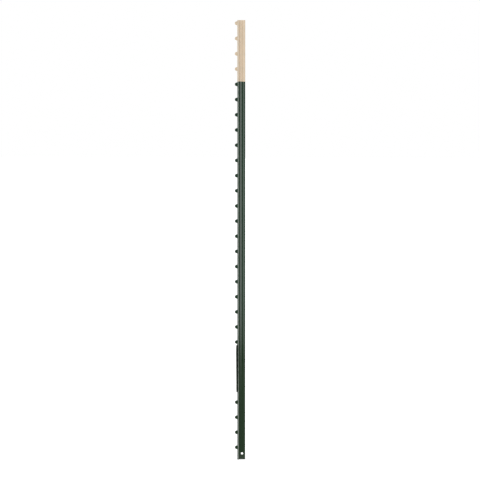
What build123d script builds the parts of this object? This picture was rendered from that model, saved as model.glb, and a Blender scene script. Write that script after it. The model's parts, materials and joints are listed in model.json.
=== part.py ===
from build123d import *
import os
from math import sqrt

# A studded steel T post, upright as it stands in the ground. Millimetres.
# The studs point to -X, the web runs to +X, Y runs across the flange and Z = 0 is the lower end.
# Pieces are drawn with X = 0 at the crest of the face that carries the wire, then moved so that
# the origin is in the web, midway between the stud tips and the bead.

# Rolled T section
post_length = 1828.8
section_depth = 33.5
flange_width = 34.9
flange_sweep = 4.1
flange_thickness = 2.8
flange_face_round = 1.5
flange_back_round = 0.8
web_thickness = 2.3
web_root_fillet = 7.5

# Bead along the free edge of the web, swelling from the web and thinning again to its edge
bead_thickness = 5.0
bead_edge_thickness = 3.4
bead_slope_length = 4.4
bead_crest_length = 4.2
bead_fall_length = 5.2
bead_neck_fillet = 5.0
bead_shoulder_round = 4.0
bead_crest_round = 8.0
bead_edge_round = 1.5

# Studs rolled out of the flange
stud_pitch = 63.06
lowest_stud_height = 50.2
stud_reach = 9.4
stud_width = 12.0
stud_base_height = 17.6
stud_tip_height = 9.4
stud_side_draft = 6.0
stud_corner_round = 2.5
stud_tip_round = 2.6
stud_root_flare = 1.0

# Hole punched through the web near the lower end
web_hole_diameter = 9.53
web_hole_height = 24.4
web_hole_from_bead_edge = 13.2

# Anchor plate, a spade of sheet steel held by three studs hammered flat through it
plate_thickness = 2.5
plate_width = 88.9
plate_top_width = 66.0
plate_foot_width = 36.0
plate_above_top_rivet = 51.5
plate_below_bottom_rivet = 20.0
plate_side_length = 14.0
plate_shoulder_drop = 15.0
plate_corner_round = 6.0
plate_first_stud = 4
plate_stud_count = 3
plate_hole_clearance = 0.3

# Flattened stud heads on the front of the plate
rivet_head_height = 1.3
rivet_head_spread = 4.0
rivet_head_bevel = 45.0


def arc_depth(crest_radius, radius, half_width):
    """Distance behind the crest of an arc that is centred crest_radius behind it."""
    return crest_radius - sqrt(radius**2 - half_width**2)


def nearest_corner(sketch, x, y):
    return sketch.vertices().sort_by_distance((x, y, 0))[0]


def round_corners(sketch, x, y, radius):
    """Round the two corners of a section that mirror each other across the web."""
    corners = [nearest_corner(sketch, x, side * y) for side in (-1, 1)]
    return fillet(corners, radius)


def flange_outline():
    """Bowed flange: two arcs about one centre, with its edges swept back towards the web."""
    half_width = flange_width / 2
    face_radius = (half_width**2 + flange_sweep**2) / (2 * flange_sweep)
    back_radius = face_radius - flange_thickness
    back_edge = arc_depth(face_radius, back_radius, half_width)
    face = ThreePointArc((flange_sweep, -half_width), (0, 0), (flange_sweep, half_width))
    back = ThreePointArc((back_edge, -half_width), (flange_thickness, 0), (back_edge, half_width))
    edges = [Line(face @ end, back @ end) for end in (0, 1)]
    flange = make_face([face, back, *edges])
    flange = round_corners(flange, flange_sweep, half_width, flange_face_round)
    return round_corners(flange, back_edge, half_width, flange_back_round)


def web_outline():
    """Web with a bead along its free edge, like the edge of a rail."""
    crest_end = section_depth - bead_fall_length
    shoulder = crest_end - bead_crest_length
    neck = shoulder - bead_slope_length
    upper_side = [
        (flange_thickness / 2, web_thickness / 2),
        (neck, web_thickness / 2),
        (shoulder, bead_thickness / 2),
        (crest_end, bead_thickness / 2),
        (section_depth, bead_edge_thickness / 2),
    ]
    lower_side = [(x, -y) for x, y in reversed(upper_side)]
    web = make_face(Polyline(*upper_side, *lower_side, close=True))
    web = round_corners(web, neck, web_thickness / 2, bead_neck_fillet)
    web = round_corners(web, shoulder, bead_thickness / 2, bead_shoulder_round)
    web = round_corners(web, crest_end, bead_thickness / 2, bead_crest_round)
    return round_corners(web, section_depth, bead_edge_thickness / 2, bead_edge_round)


def rolled_section():
    """Whole T section, with the web flowing into the flange."""
    section = flange_outline() + web_outline()
    return round_corners(section, flange_thickness, web_thickness / 2, web_root_fillet)


def wire_face(reach=0):
    """Drawing plane seen by someone who faces the studs, a given reach out from the crest."""
    return Plane(origin=(-reach, 0, 0), x_dir=(0, -1, 0), z_dir=(-1, 0, 0))


def side_outline():
    """A stud from the side: flared into the flange, narrowing outwards, rounded at its tip."""
    root = stud_base_height / 2
    tip = stud_tip_height / 2
    buried = flange_thickness / 2
    lower_half = [
        (buried, -(root + stud_root_flare + buried)),
        (-stud_root_flare, -root),
        (-stud_reach, -tip),
    ]
    upper_half = [(x, -z) for x, z in reversed(lower_half)]
    outline = make_face(Polyline(*lower_half, *upper_half, close=True))
    return round_corners(outline, -stud_reach, tip, stud_tip_round)


def front_outline(grow=0):
    """A stud from the front, a rounded upright block, or the same grown all round."""
    width = stud_width + 2 * grow
    height = stud_base_height + 2 * grow
    return RectangleRounded(width, height, stud_corner_round + grow)


def stud():
    """One stud, its root buried in the flange: the side view and the drafted front view crossed."""
    side_view = extrude(Plane.XZ * side_outline(), stud_width, both=True)
    buried = flange_thickness / 2
    length = buried + stud_reach + stud_root_flare
    front_view = wire_face(-buried) * front_outline(stud_root_flare)
    return side_view & extrude(front_view, length, taper=stud_side_draft)


def rivet():
    """A stud hammered flat: its shank fills the plate's hole and its head spreads over the plate."""
    buried = flange_thickness / 2
    shank = extrude(wire_face(-buried) * front_outline(), buried + plate_thickness)
    head_outline = wire_face(plate_thickness) * front_outline(rivet_head_spread)
    return shank + extrude(head_outline, rivet_head_height, taper=rivet_head_bevel)


def stud_heights():
    """Heights of all stud places, one for each pitch that fits on the post."""
    room = post_length - lowest_stud_height - stud_base_height / 2
    count = int(room // stud_pitch) + 1
    return [lowest_stud_height + stud_pitch * index for index in range(count)]


def rivet_heights():
    last = plate_first_stud + plate_stud_count
    return stud_heights()[plate_first_stud:last]


def web_hole():
    centre = Pos(section_depth - web_hole_from_bead_edge, 0, web_hole_height)
    return centre * Rot(90, 0, 0) * Cylinder(web_hole_diameter / 2, flange_width)


def t_post():
    """Post with its studs in one rolled piece, three of them flattened into rivets."""
    bar = extrude(rolled_section(), post_length)
    riveted = rivet_heights()
    plain = [height for height in stud_heights() if height not in riveted]
    studs = [Pos(0, 0, height) * stud() for height in plain]
    rivets = [Pos(0, 0, height) * rivet() for height in riveted]
    return bar + studs + rivets - web_hole()


def plate_outline():
    """Spade outline: sloped shoulders at the top, sides tapering to a narrow foot."""
    top = rivet_heights()[-1] + plate_above_top_rivet
    foot = rivet_heights()[0] - plate_below_bottom_rivet
    shoulder = top - plate_shoulder_drop
    right_side = [
        (plate_foot_width / 2, foot),
        (plate_width / 2, shoulder - plate_side_length),
        (plate_width / 2, shoulder),
        (plate_top_width / 2, top),
    ]
    left_side = [(-y, z) for y, z in reversed(right_side)]
    outline = make_face(Polyline(*right_side, *left_side, close=True))
    return fillet(outline.vertices(), plate_corner_round)


def plate_holes():
    """One hole for each stud that passes through the plate, with a clearance all round."""
    return [Pos(0, at) * front_outline(plate_hole_clearance) for at in rivet_heights()]


def anchor_plate():
    """Flat plate lying on the crest of the wire face."""
    blank = plate_outline() - plate_holes()
    return extrude(wire_face() * blank, plate_thickness)


nodes = {
    "t_post": t_post,
    "anchor_plate": anchor_plate,
}

os.makedirs("parts", exist_ok=True)
to_origin = Pos(-(section_depth - stud_reach) / 2, 0, 0)
for name, build in nodes.items():
    export_step(to_origin * build(), f"parts/{name}.step")
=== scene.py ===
import json
import math

import bmesh
import bpy
from mathutils import Matrix, Vector, noise

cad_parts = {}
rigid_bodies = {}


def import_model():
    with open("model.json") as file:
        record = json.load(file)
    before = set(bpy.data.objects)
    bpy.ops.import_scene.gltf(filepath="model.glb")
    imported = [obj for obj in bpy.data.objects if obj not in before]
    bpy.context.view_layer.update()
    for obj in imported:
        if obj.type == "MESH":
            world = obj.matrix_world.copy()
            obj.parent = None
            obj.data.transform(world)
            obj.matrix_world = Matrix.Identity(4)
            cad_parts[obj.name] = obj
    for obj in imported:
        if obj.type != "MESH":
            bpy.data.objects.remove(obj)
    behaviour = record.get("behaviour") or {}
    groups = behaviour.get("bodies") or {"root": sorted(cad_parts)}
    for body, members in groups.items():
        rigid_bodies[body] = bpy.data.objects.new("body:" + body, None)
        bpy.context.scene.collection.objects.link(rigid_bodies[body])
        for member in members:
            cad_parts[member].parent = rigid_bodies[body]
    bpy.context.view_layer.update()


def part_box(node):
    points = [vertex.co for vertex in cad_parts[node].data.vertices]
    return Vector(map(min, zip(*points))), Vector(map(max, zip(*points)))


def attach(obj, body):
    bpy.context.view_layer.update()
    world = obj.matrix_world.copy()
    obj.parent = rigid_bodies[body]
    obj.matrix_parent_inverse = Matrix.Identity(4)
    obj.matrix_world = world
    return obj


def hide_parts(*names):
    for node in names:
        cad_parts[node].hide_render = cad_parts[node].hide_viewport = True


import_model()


# The post is one bar of hot-rolled steel. Its bowed flange, web, bead and studs leave the rolls
# together, and the bar is cut to length in a shear. It is coated all over with dark green enamel,
# and its top is then dipped in cream enamel so that it can be seen across a field.

post_low, post_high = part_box("t_post")
post_length = post_high.z
stud_reach = 0.0094
crest_x = post_low.x + stud_reach
section_depth = post_high.x - crest_x
same_place = 1e-6

flange_half_width = post_high.y
flange_sweep = 0.0041
flange_thickness = 0.0028
flange_face_round = 0.0031
flange_back_round = 0.0006
bow_radius = (flange_half_width**2 + flange_sweep**2) / (2 * flange_sweep)
web_half_thickness = 0.00115
web_root_fillet = 0.0075
bead_half_thickness = 0.0025
bead_edge_half_thickness = 0.0017
bead_slope_length = 0.0044
bead_crest_length = 0.0042
bead_fall_length = 0.0052
bead_neck_fillet = 0.005
bead_shoulder_round = 0.004
bead_crest_round = 0.008
bead_edge_round = 0.0015

column_width = 0.0026
column_count = 6
outer_column = 0.0152
back_columns = (outer_column, 0.0135, 0.0115)


def swept(y, radius=bow_radius):
    """How far an arc about the bow's centre lies behind the crest at a distance y from the middle."""
    return bow_radius - math.sqrt(radius**2 - y**2)


def rounded(before, corner, after, radius, steps):
    """A corner of an outline between its two neighbours, as points along its rounding."""
    corner = Vector(corner)
    back = (Vector(before) - corner).normalized()
    onward = (Vector(after) - corner).normalized()
    half_angle = back.angle(onward) / 2
    reach = radius / math.tan(half_angle)
    centre = corner + (back + onward).normalized() * radius / math.sin(half_angle)
    start = corner + back * reach - centre
    end = corner + onward * reach - centre
    ways_out = [start.slerp(end, step / steps).normalized() for step in range(steps + 1)]
    return [tuple(centre + way_out * radius) for way_out in ways_out]


def section_outline():
    """The rolled section, from the middle of the wire face round to the bead and back."""
    face_columns = [column_width * (column + 0.5) for column in range(column_count)] + [outer_column]
    face = [(swept(y), y) for y in face_columns]
    back_radius = bow_radius - flange_thickness
    face_edge = (flange_sweep, flange_half_width)
    back_edge = (swept(flange_half_width, back_radius), flange_half_width)
    back = [(swept(y, back_radius), y) for y in back_columns]
    root_centre = web_half_thickness + web_root_fillet
    lean = math.asin(root_centre / (back_radius - web_root_fillet))
    root_start = (bow_radius - back_radius * math.cos(lean), back_radius * math.sin(lean))
    root = (root_start[0] - (root_start[1] - web_half_thickness) * math.tan(lean), web_half_thickness)
    crest_end = (section_depth - bead_fall_length, bead_half_thickness)
    shoulder = (crest_end[0] - bead_crest_length, bead_half_thickness)
    neck = (shoulder[0] - bead_slope_length, web_half_thickness)
    edge = (section_depth, bead_edge_half_thickness)
    half = [
        *face,
        *rounded(face[-1], face_edge, back_edge, flange_face_round, steps=8),
        *rounded(face_edge, back_edge, back[0], flange_back_round, steps=4),
        *back,
        *rounded(root_start, root, neck, web_root_fillet, steps=8),
        *rounded(root, neck, shoulder, bead_neck_fillet, steps=2),
        *rounded(neck, shoulder, crest_end, bead_shoulder_round, steps=2),
        *rounded(shoulder, crest_end, edge, bead_crest_round, steps=2),
        *rounded(crest_end, edge, (section_depth, 0), bead_edge_round, steps=4),
    ]
    other_half = [(x, -y) for x, y in reversed(half)]
    return [(crest_x + x, y) for x, y in half + other_half]


def open_mesh(name):
    """Starts a new object at the origin whose mesh is empty, and goes into edit mode."""
    bpy.ops.object.select_all(action="DESELECT")
    bpy.ops.mesh.primitive_plane_add(size=0.01, location=(0, 0, 0))
    piece = bpy.context.object
    piece.name = name
    bpy.ops.object.mode_set(mode="EDIT")
    bpy.ops.mesh.select_mode(type="VERT")
    bpy.ops.mesh.delete(type="VERT")
    return piece


def trace(points):
    """Draws a closed outline in edit mode by pulling out one vertex after another, and selects it."""
    bpy.ops.mesh.primitive_plane_add(size=0.0001, location=points[0])
    bpy.ops.mesh.merge(type="CENTER")
    places = [Vector(point) for point in points]
    for here, there in zip(places, places[1:]):
        bpy.ops.mesh.extrude_vertices_move(TRANSFORM_OT_translate={"value": there - here})
    bpy.ops.mesh.select_linked()
    mesh = bmesh.from_edit_mesh(bpy.context.object.data)
    ends = [vertex for vertex in mesh.verts if vertex.select and len(vertex.link_edges) == 1]
    for vertex in mesh.verts:
        vertex.select = vertex in ends
    mesh.select_flush_mode()
    bpy.ops.mesh.edge_face_add()
    bpy.ops.mesh.select_linked()


def select(kind, chosen):
    """Selects the vertices, edges or faces of the mesh in edit mode that a test chooses."""
    bpy.ops.mesh.select_mode(type=kind)
    bpy.ops.mesh.select_all(action="DESELECT")
    mesh = bmesh.from_edit_mesh(bpy.context.object.data)
    elements = {"VERT": mesh.verts, "EDGE": mesh.edges, "FACE": mesh.faces}[kind]
    for element in elements:
        if chosen(element):
            element.select_set(True)
    bmesh.update_edit_mesh(bpy.context.object.data)


def middle(element):
    return sum((vertex.co for vertex in element.verts), Vector()) / len(element.verts)


stud_pitch = 0.06306
stud_count = 29
lowest_stud = 0.0502
stud_root_half_height = 0.0088
stud_tip_half_height = 0.0047
stud_half_width = 0.00685
stud_side_slope = 0.105
stud_corner_round = 0.0034
stud_flare = 0.0014
stud_flare_at_sides = 0.7
stud_tip_round = 0.0026
stud_tip_round_at_sides = 0.6
dome_rise = 0.0001
dome_share = 0.6

row_height = 0.0049
rows_above_middle = (0.5, 1.5, 2.5, 4.47)
stud_patch_half_width = 3.6 * column_width
stud_patch_half_height = 2.6 * row_height
face_slack = 0.0005


def raise_rings(rings, corner_round):
    """Pulls a rounded block out of the wire face, ring by ring: reach, half width, half height."""
    last_reach, last_half_width, last_half_height = rings[-1]
    dome = (last_reach + dome_rise, last_half_width * dome_share, last_half_height * dome_share)
    reach, half_width, half_height = rings[0]
    bpy.ops.mesh.select_mode(type="VERT")
    bpy.ops.mesh.select_all(action="DESELECT")
    bpy.ops.mesh.primitive_plane_add(
        size=1, location=(crest_x - reach, 0, 0), rotation=(0, -math.pi / 2, 0),
        scale=(2 * half_height, 2 * half_width, 1))
    mesh = bmesh.from_edit_mesh(bpy.context.object.data)
    for vertex in [vertex for vertex in mesh.verts if vertex.select]:
        vertex.co.y = math.copysign(half_width, vertex.co.y)
        vertex.co.z = math.copysign(half_height, vertex.co.z)
    bmesh.update_edit_mesh(bpy.context.object.data)
    bpy.ops.mesh.bevel(
        affect="VERTICES", offset=corner_round, offset_type="OFFSET", segments=5,
        clamp_overlap=False)
    bpy.ops.mesh.select_mode(type="FACE")
    for further, width, height in [*rings[1:], dome]:
        bpy.ops.mesh.extrude_region_move(TRANSFORM_OT_translate={"value": (reach - further, 0, 0)})
        bpy.ops.transform.resize(
            value=(1, width / half_width, height / half_height),
            center_override=(crest_x - further, 0, 0))
        reach, half_width, half_height = further, width, height
    bpy.ops.mesh.select_linked()
    mesh = bmesh.from_edit_mesh(bpy.context.object.data)
    foot = crest_x - rings[0][0]
    for face in mesh.faces:
        at_foot = abs(middle(face).x - foot) < same_place
        face.select = face.select and len(face.verts) > 4 and at_foot
    bpy.ops.mesh.delete(type="ONLY_FACE")


def stud_rings():
    """A stud: flared out of the flange, narrowing to its tip, its tip rounded and a little domed."""
    rings = []
    for degrees in (0, 22.5, 45, 67.5, 90):
        turn = math.radians(degrees)
        reach = stud_flare * (1 - math.cos(turn))
        grown = stud_flare * (1 - math.sin(turn))
        rings.append((reach, grown * stud_flare_at_sides, grown))
    for degrees in (0, 20, 40, 60, 80):
        turn = math.radians(degrees)
        reach = stud_reach - dome_rise - stud_tip_round * (1 - math.sin(turn))
        shrunk = stud_tip_round * (1 - math.cos(turn))
        rings.append((reach, -shrunk * stud_tip_round_at_sides, -shrunk))
    narrowing = (stud_root_half_height - stud_tip_half_height) / stud_reach
    return [
        (reach,
         stud_half_width - reach * stud_side_slope + wider,
         stud_root_half_height - reach * narrowing + taller)
        for reach, wider, taller in rings
    ]


def bar_length(name, rings, corner_round):
    """One pitch of the bar, centred at the origin's height, with the rings standing on its wire face."""
    piece = open_mesh(name)
    trace([(x, y, -stud_pitch / 2) for x, y in section_outline()])
    above = [row * row_height for row in rows_above_middle]
    below = [-height for height in reversed(above)]
    heights = [-stud_pitch / 2, *below, *above, stud_pitch / 2]
    bpy.ops.mesh.select_mode(type="EDGE")
    for low, high in zip(heights, heights[1:]):
        bpy.ops.mesh.extrude_edges_move(TRANSFORM_OT_translate={"value": (0, 0, high - low)})

    def under_stud(element):
        place = middle(element)
        on_face = place.x < crest_x + swept(place.y) + face_slack
        in_width = abs(place.y) < stud_patch_half_width
        return on_face and in_width and abs(place.z) < stud_patch_half_height

    select("FACE", under_stud)
    bpy.ops.mesh.delete(type="FACE")
    raise_rings(rings, corner_round)
    top_reach = rings[-1][0]
    select("VERT", lambda vertex: vertex.co.x < crest_x - top_reach + same_place)
    bpy.ops.mesh.select_linked()
    mesh = bmesh.from_edit_mesh(piece.data)
    for vertex in mesh.verts:
        if vertex.select:
            share = (crest_x - vertex.co.x) / top_reach
            vertex.co.x += swept(vertex.co.y) * max(0, 1 - share)
    bmesh.update_edit_mesh(piece.data)
    select("EDGE", lambda edge: edge.is_boundary and under_stud(edge))
    bpy.ops.mesh.bridge_edge_loops()
    bpy.ops.object.mode_set(mode="OBJECT")
    return piece


# Three studs are hammered flat through the anchor plate's holes, and each ends in a low, uneven head.
riveted_studs = (4, 5, 6)
plate_thickness = 0.0025
shank_half_width = 0.006
shank_corner_round = 0.0025
head_height = 0.0013
head_extra_height = 0.0002
head_rise_and_spread = (
    (0.00002, 0.0030), (0.00025, 0.0038), (0.00055, 0.0037), (0.00085, 0.0030), (0.00105, 0.0015),
    (0.00118, 0), (0.00122, -0.0012), (0.00125, -0.0024), (0.00127, -0.0036), (0.00128, -0.0048),
)
dent_depth = 0.0009
dent_width = 0.005
dent_coverage = 0.2
uneven_width = 0.008
uneven_across = 0.12
uneven_upright = 0.08
across_layer = 50
upright_layer = 59


def head_rings():
    """A stud hammered flat: a straight shank through the plate and a low mushroom over it."""
    rings = [(reach, shank_half_width, stud_root_half_height) for reach in (0, plate_thickness)]
    for rise, spread in head_rise_and_spread:
        half_height = stud_root_half_height + spread + head_extra_height
        rings.append((plate_thickness + rise, shank_half_width + spread, half_height))
    return rings


def patchy(place, width, layer):
    """Smooth noise across the wire face in patches of a given width, another pattern on each layer."""
    return noise.noise(Vector((layer, place.y / width, place.z / width)))


def dent_head(stretch, index):
    """Marks a head with the blows that flattened it: shallow dents, and an outline spread unevenly."""
    for vertex in stretch.data.vertices:
        place = vertex.co.copy()
        rise = crest_x - plate_thickness - place.x
        if rise > 0:
            share = rise / head_height
            dent = max(0, patchy(place, dent_width, index) + dent_coverage)
            across = patchy(place, uneven_width, index + across_layer)
            upright = patchy(place, uneven_width, index + upright_layer)
            vertex.co.x += dent_depth * share * dent
            vertex.co.y *= 1 + uneven_across * share * across
            vertex.co.z *= 1 + uneven_upright * share * upright


def copied(pattern):
    """A copy of a modelled piece, with a mesh of its own."""
    piece = pattern.copy()
    piece.data = pattern.data.copy()
    bpy.context.scene.collection.objects.link(piece)
    return piece


plain = bar_length("plain_pitch", stud_rings(), stud_corner_round)
hammered = bar_length("hammered_pitch", head_rings(), shank_corner_round)
stretches = []
for index in range(stud_count):
    if index in riveted_studs:
        stretch = copied(hammered)
        dent_head(stretch, index)
    else:
        stretch = copied(plain)
    stretch.data.transform(Matrix.Translation((0, 0, lowest_stud + stud_pitch * index)))
    stretches.append(stretch)
for pattern in (plain, hammered):
    bpy.data.objects.remove(pattern)


# The stretches are joined to one bar, cut off at the top, drawn out to the foot and punched near it.
end_edge_round = 0.0003
web_hole_radius = 0.004765
web_hole_from_bead_edge = 0.0132
web_hole_height = 0.0244
lowest_row = lowest_stud - stud_pitch / 2


def at_an_end(element):
    height = middle(element).z
    return min(abs(height), abs(height - post_length)) < same_place


def finish_piece(piece, name, smooth_below):
    """Names a modelled piece, evens its shading below an angle and puts it on the root body."""
    piece.name = name
    piece.data.name = name
    bpy.ops.object.select_all(action="DESELECT")
    bpy.context.view_layer.objects.active = piece
    piece.select_set(True)
    bpy.ops.object.shade_smooth_by_angle(angle=math.radians(smooth_below))
    bpy.ops.object.modifier_add(type="WEIGHTED_NORMAL")
    piece.modifiers[-1].keep_sharp = True
    bpy.ops.object.modifier_apply(modifier=piece.modifiers[-1].name)
    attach(piece, "root")


post = stretches[0]
bpy.ops.object.select_all(action="DESELECT")
for stretch in stretches:
    stretch.select_set(True)
bpy.context.view_layer.objects.active = post
bpy.ops.object.join()
bpy.ops.object.mode_set(mode="EDIT")
bpy.ops.mesh.select_all(action="SELECT")
bpy.ops.mesh.remove_doubles(threshold=same_place)
bpy.ops.mesh.bisect(plane_co=(0, 0, post_length), plane_no=(0, 0, 1), clear_outer=True)
select("EDGE", lambda edge: edge.is_boundary and abs(middle(edge).z - lowest_row) < same_place)
bpy.ops.mesh.extrude_edges_move(TRANSFORM_OT_translate={"value": (0, 0, -lowest_row)})
for height in (0, post_length):
    select("EDGE", lambda edge: edge.is_boundary and abs(middle(edge).z - height) < same_place)
    bpy.ops.mesh.edge_face_add()
bpy.ops.mesh.select_all(action="SELECT")
bpy.ops.mesh.normals_make_consistent(inside=False)
select("EDGE", at_an_end)
bpy.ops.mesh.bevel(offset=end_edge_round, segments=2, affect="EDGES")
bpy.ops.object.mode_set(mode="OBJECT")

bpy.ops.object.select_all(action="DESELECT")
bpy.ops.mesh.primitive_cylinder_add(
    vertices=48, radius=web_hole_radius, depth=4 * flange_half_width,
    location=(post_high.x - web_hole_from_bead_edge, 0, web_hole_height),
    rotation=(math.pi / 2, 0, 0))
punch = bpy.context.object
bpy.ops.object.select_all(action="DESELECT")
bpy.context.view_layer.objects.active = post
post.select_set(True)
bpy.ops.object.modifier_add(type="BOOLEAN")
post.modifiers[-1].object = punch
post.modifiers[-1].operation = "DIFFERENCE"
bpy.ops.object.modifier_apply(modifier=post.modifiers[-1].name)
bpy.data.objects.remove(punch)
finish_piece(post, "post", smooth_below=35)
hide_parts("t_post")


class Wire:
    """An output of a shader node that can be written into sums and products."""

    def __init__(self, shader, socket):
        self.shader = shader
        self.socket = socket

    def maths(self, operation, *values):
        sockets = dict(enumerate(values))
        return self.shader.node("ShaderNodeMath", {"operation": operation}, sockets)

    def __add__(self, other):
        return self.maths("ADD", self, other)

    __radd__ = __add__

    def __sub__(self, other):
        return self.maths("SUBTRACT", self, other)

    def __rsub__(self, other):
        return self.maths("SUBTRACT", other, self)

    def __mul__(self, other):
        return self.maths("MULTIPLY", self, other)

    __rmul__ = __mul__

    def larger(self, other):
        return self.maths("MAXIMUM", self, other)

    def absolute(self):
        return self.maths("ABSOLUTE", self)


class Shader:
    """The nodes of one material or of the world."""

    def __init__(self, owner):
        owner.use_nodes = True
        self.tree = owner.node_tree
        self.tree.nodes.clear()

    def node(self, kind, settings=None, sockets=None, out=0):
        """Adds a node, with its settings first and then the values or links of its sockets."""
        node = self.tree.nodes.new(kind)
        for name, value in (settings or {}).items():
            setattr(node, name, value)
        for name, value in (sockets or {}).items():
            if isinstance(value, Wire):
                self.tree.links.new(value.socket, node.inputs[name])
            else:
                node.inputs[name].default_value = value
        return Wire(self, node.outputs[out]) if node.outputs else node

    def point(self):
        return self.node("ShaderNodeTexCoord", out="Object")

    def along(self, axis, vector):
        """One coordinate of a point or a direction."""
        return self.node("ShaderNodeSeparateXYZ", {}, {"Vector": vector}, out=axis)

    def stretched(self, point, scale):
        return self.node("ShaderNodeMapping", {}, {"Vector": point, "Scale": scale})

    def noise(self, point, size, detail=2):
        """Noise with patches of a given size in metres."""
        return self.node("ShaderNodeTexNoise", {}, {"Vector": point, "Scale": 1 / size, "Detail": detail})

    def step(self, value, low, high):
        """Runs smoothly from 0 to 1 as the value goes from low to high."""
        ends = {"Value": value, "From Min": low, "From Max": high}
        return self.node("ShaderNodeMapRange", {"interpolation_type": "SMOOTHSTEP"}, ends)

    def mixed(self, share, first, second):
        """A colour between two colours, which are sockets 6 and 7 of the Mix node and its output 2."""
        return self.node("ShaderNodeMix", {"data_type": "RGBA"}, {0: share, 6: first, 7: second}, out=2)


def linear(red, green, blue):
    """A colour given in display values of 0 to 255, as shaders take it."""
    parts = [part / 255 for part in (red, green, blue)]
    return (*[part / 12.92 if part <= 0.04045 else ((part + 0.055) / 1.055) ** 2.4 for part in parts], 1)


green_colour = linear(26, 55, 36)
green_thin_colour = linear(33, 62, 42)
low_green_colour = linear(28, 54, 28)
low_green_full = 0.35
low_green_ends = 0.75
cream_colour = linear(220, 199, 172)
cream_shade_colour = linear(212, 194, 168)
cream_from = 1.575
dip_line_waver = 0.004
dip_line_blur = 0.0004
# A painted highlight: a pale chalky strip along both outer edges of the flange, the whole length of the
# post.
edge_highlight_colour = linear(232, 236, 230)
edge_highlight_begins = 0.0160
edge_highlight_full = 0.0169
edge_highlight_waver = 0.0008
edge_highlight_least = 0.06
edge_highlight_range = 0.42
streak_stretch = (1, 1, 0.05)
streaks_begin = 0.35
streaks_full = 0.75
patches_begin = 0.3
patches_full = 0.8
edge_highlight_breakup_stretch = (1, 1, 0.25)
grain_share = 0.3
enamel_roughness = 0.1
enamel_roughness_range = 0.08
cream_extra_roughness = 0.15
enamel_ior = 1.5


def enamel_green(shader, thinness, height):
    """Green enamel, a little paler where it is thin and a little yellower towards the foot."""
    green = shader.mixed(thinness, green_colour, green_thin_colour)
    lowness = shader.step(height, low_green_ends, low_green_full)
    return shader.mixed(lowness, green, low_green_colour)


post_material = bpy.data.materials.new("green_enamel_cream_dip")
shader = Shader(post_material)
point = shader.point()
across = shader.along("Y", point)
height = shader.along("Z", point)
streaks = shader.noise(shader.stretched(point, streak_stretch), size=0.006, detail=4)
patches = shader.noise(point, size=0.02, detail=3)
green = enamel_green(shader, shader.step(streaks, streaks_begin, streaks_full), height)
shaded = shader.step(patches, patches_begin, patches_full)
cream = shader.mixed(shaded, cream_colour, cream_shade_colour)
dip_line = height + (shader.noise(point, size=0.008) - 0.5) * dip_line_waver
dipped = shader.step(dip_line, cream_from - dip_line_blur, cream_from + dip_line_blur)
colour = shader.mixed(dipped, green, cream)
# Painted highlight along the flange's outer edges: a pale strip whose border and strength are broken up
# by noise.
edge_highlight_breakup = shader.noise(shader.stretched(point, edge_highlight_breakup_stretch), size=0.003, detail=4)
edge_highlight = shader.step(across.absolute() + (edge_highlight_breakup - 0.5) * edge_highlight_waver, edge_highlight_begins, edge_highlight_full)
colour = shader.mixed(edge_highlight * (edge_highlight_least + edge_highlight_range * edge_highlight_breakup), colour, edge_highlight_colour)
grain = shader.noise(point, size=0.0012, detail=3)
peel = shader.noise(point, size=0.004, detail=1)
relief = {"Strength": 0.08, "Distance": 0.0002, "Height": peel + grain * grain_share}
roughness = enamel_roughness + shader.noise(point, size=0.01) * enamel_roughness_range
finish = shader.node("ShaderNodeBsdfPrincipled", {}, {
    "Base Color": colour,
    "Roughness": roughness + dipped * cream_extra_roughness,
    "Normal": shader.node("ShaderNodeBump", {}, relief),
    "IOR": enamel_ior,
})
shader.node("ShaderNodeOutputMaterial", {}, {"Surface": finish})
post.data.materials.clear()
post.data.materials.append(post_material)


# The anchor plate is a spade of sheet steel, punched and sheared to shape, set on the studs while
# the post is bare and held by hammering three of them flat. It is coated with the post.

plate_low, plate_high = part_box("anchor_plate")
plate_shoulder_drop = 0.015
plate_side_length = 0.014
plate_half_width = plate_high.y
plate_shoulder = plate_high.z - plate_shoulder_drop
plate_side_foot = plate_shoulder - plate_side_length
plate_top_half_width = 0.033
plate_foot_half_width = 0.018
plate_corner_round = 0.006
plate_edge_round = 0.0004
plate_hole_clearance = 0.0003
square_edge = math.radians(80)
plate_roughness = 0.14
plate_roughness_range = 0.1


def rounded_loop(corners, radius, steps):
    """A closed outline of corners, each rounded with the same radius, on the wire face's plane."""
    loop = []
    for place, corner in enumerate(corners):
        after = corners[(place + 1) % len(corners)]
        loop.extend(rounded(corners[place - 1], corner, after, radius, steps))
    return [(crest_x, y, z) for y, z in loop]


def hole_loop(middle_height):
    """The hole that a stud passes through, a little larger all round than the stud."""
    half_width = shank_half_width + plate_hole_clearance
    half_height = stud_root_half_height + plate_hole_clearance
    foot = middle_height - half_height
    top = middle_height + half_height
    corners = [(-half_width, foot), (half_width, foot), (half_width, top), (-half_width, top)]
    return rounded_loop(corners, shank_corner_round + plate_hole_clearance, steps=5)


right_side = [
    (plate_foot_half_width, plate_low.z),
    (plate_half_width, plate_side_foot),
    (plate_half_width, plate_shoulder),
    (plate_top_half_width, plate_high.z),
]
left_side = [(-y, z) for y, z in reversed(right_side)]
plate = open_mesh("plate")
trace(rounded_loop(right_side + left_side, plate_corner_round, steps=6))
for index in riveted_studs:
    trace(hole_loop(lowest_stud + stud_pitch * index))
bpy.ops.mesh.select_all(action="SELECT")
bpy.ops.mesh.fill(use_beauty=True)
bpy.ops.mesh.select_all(action="SELECT")
bpy.ops.mesh.extrude_region_move(TRANSFORM_OT_translate={"value": (-plate_thickness, 0, 0)})
select("EDGE", lambda edge: len(edge.link_faces) == 2 and edge.calc_face_angle() > square_edge)
bpy.ops.mesh.bevel(offset=plate_edge_round, segments=2, affect="EDGES")
bpy.ops.mesh.select_all(action="SELECT")
bpy.ops.mesh.normals_make_consistent(inside=False)
bpy.ops.object.mode_set(mode="OBJECT")
finish_piece(plate, "plate", smooth_below=50)
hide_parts("anchor_plate")

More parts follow.
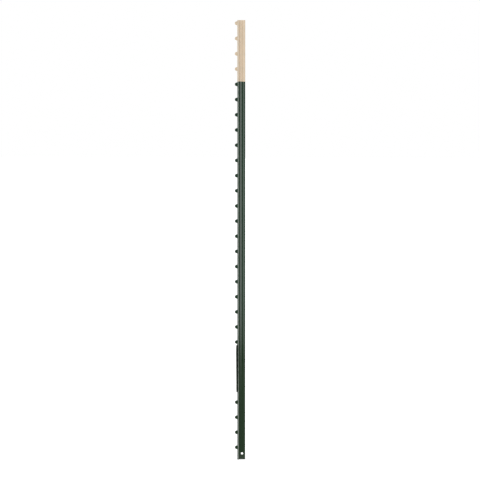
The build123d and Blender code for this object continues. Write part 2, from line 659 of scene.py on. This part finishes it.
plate_material = bpy.data.materials.new("plate_green_enamel")
shader = Shader(plate_material)
point = shader.point()
patches = shader.noise(point, size=0.02, detail=3)
thinness = shader.step(patches, patches_begin, patches_full)
grain = shader.noise(point, size=0.0015, detail=3)
relief = {"Strength": 0.1, "Distance": 0.0003, "Height": grain}
finish = shader.node("ShaderNodeBsdfPrincipled", {}, {
    "Base Color": enamel_green(shader, thinness, shader.along("Z", point)),
    "Roughness": plate_roughness + shader.noise(point, size=0.01) * plate_roughness_range,
    "Normal": shader.node("ShaderNodeBump", {}, relief),
    "IOR": enamel_ior,
})
shader.node("ShaderNodeOutputMaterial", {}, {"Surface": finish})
plate.data.materials.clear()
plate.data.materials.append(plate_material)


# Studio: a plain pale floor in a white surround, and one soft lamp in front, a little to the left.
# In reflections the surround is white behind the post and far round to its left and dim elsewhere,
# and the floor is pale to a hand's breadth in front of the post and grey further out.

black = (0, 0, 0, 1)
white = (1, 1, 1, 1)
floor_size = 60
floor_colour = linear(240, 240, 240)
floor_grey_colour = linear(150, 150, 150)
grey_ahead_of = -0.17
pale_behind = -0.1
floor_glow = 0.45

bpy.ops.object.select_all(action="DESELECT")
bpy.ops.mesh.primitive_plane_add(size=floor_size, location=(0, 0, 0))
floor = bpy.context.object
floor.name = "floor"
floor_material = bpy.data.materials.new("pale_floor")
shader = Shader(floor_material)
seen = shader.node("ShaderNodeLightPath", out="Is Camera Ray")
reflected = shader.node("ShaderNodeLightPath", out="Is Glossy Ray")
depth = shader.along("Y", shader.point())
pale = shader.step(depth, grey_ahead_of, pale_behind).larger(1 - reflected)
surface = shader.node("ShaderNodeBsdfPrincipled", {}, {
    "Base Color": shader.mixed(pale, floor_grey_colour, floor_colour),
    "Roughness": 0.9,
    "Specular IOR Level": 0,
    "Emission Color": shader.mixed(seen * floor_glow, black, white),
    "Emission Strength": 1,
})
shader.node("ShaderNodeOutputMaterial", {}, {"Surface": surface})
floor.data.materials.append(floor_material)

surround_light = 0.93
dim_reflection = 0.08
white_from_depth = 0.6
left_starts = -0.66
left_white = -0.8

world = bpy.data.worlds.new("white_studio")
bpy.context.scene.world = world
shader = Shader(world)
towards = shader.node("ShaderNodeTexCoord", out="Generated")
side = shader.along("X", towards)
depth = shader.along("Y", towards)
seen = shader.node("ShaderNodeLightPath", out="Is Camera Ray")
reflected = shader.node("ShaderNodeLightPath", out="Is Glossy Ray")
bright = shader.step(depth, 0, white_from_depth).larger(shader.step(side, left_starts, left_white))
gloss = dim_reflection + (1 - dim_reflection) * bright
level = (surround_light + (gloss - surround_light) * reflected).larger(seen)
shade = shader.mixed(level, black, white)
background = shader.node("ShaderNodeBackground", {}, {"Color": shade, "Strength": 1})
shader.node("ShaderNodeOutputWorld", {}, {"Surface": background})

lamp_width = 1.2
lamp_height = 3.1
lamp_watts = 28
lamp_place = (-0.25, -4.6, 1.57)
lamp_turn = math.radians(-3)

lamp_data = bpy.data.lights.new("front_softbox", "AREA")
lamp_data.shape = "RECTANGLE"
lamp_data.size = lamp_width
lamp_data.size_y = lamp_height
lamp_data.energy = lamp_watts
lamp = bpy.data.objects.new("front_softbox", lamp_data)
lamp.location = lamp_place
lamp.rotation_euler = (math.radians(90), 0, lamp_turn)
lamp.visible_camera = False
bpy.context.scene.collection.objects.link(lamp)


# Camera at the photograph's angle: almost as high as the top of the post, a little round to the
# web's side, far off behind a long lens.

camera_azimuth = math.radians(3)
camera_distance = 12.5
camera_height = 1.78
aim_side = -0.0003
aim_height = 0.9174
lens_length = 226.15

camera_data = bpy.data.cameras.new("camera")
camera = bpy.data.objects.new("camera", camera_data)
bpy.context.scene.collection.objects.link(camera)
reach = Vector((math.sin(camera_azimuth), -math.cos(camera_azimuth), 0)) * camera_distance
aim = Vector((aim_side, 0, aim_height))
camera.location = reach + Vector((aim_side, 0, camera_height))
look = aim - camera.location
camera.rotation_euler = look.to_track_quat("-Z", "Y").to_euler()
camera_data.sensor_width = 36
camera_data.lens = lens_length
camera_data.clip_end = 100
bpy.context.scene.camera = camera
bpy.context.scene.view_settings.view_transform = "Standard"
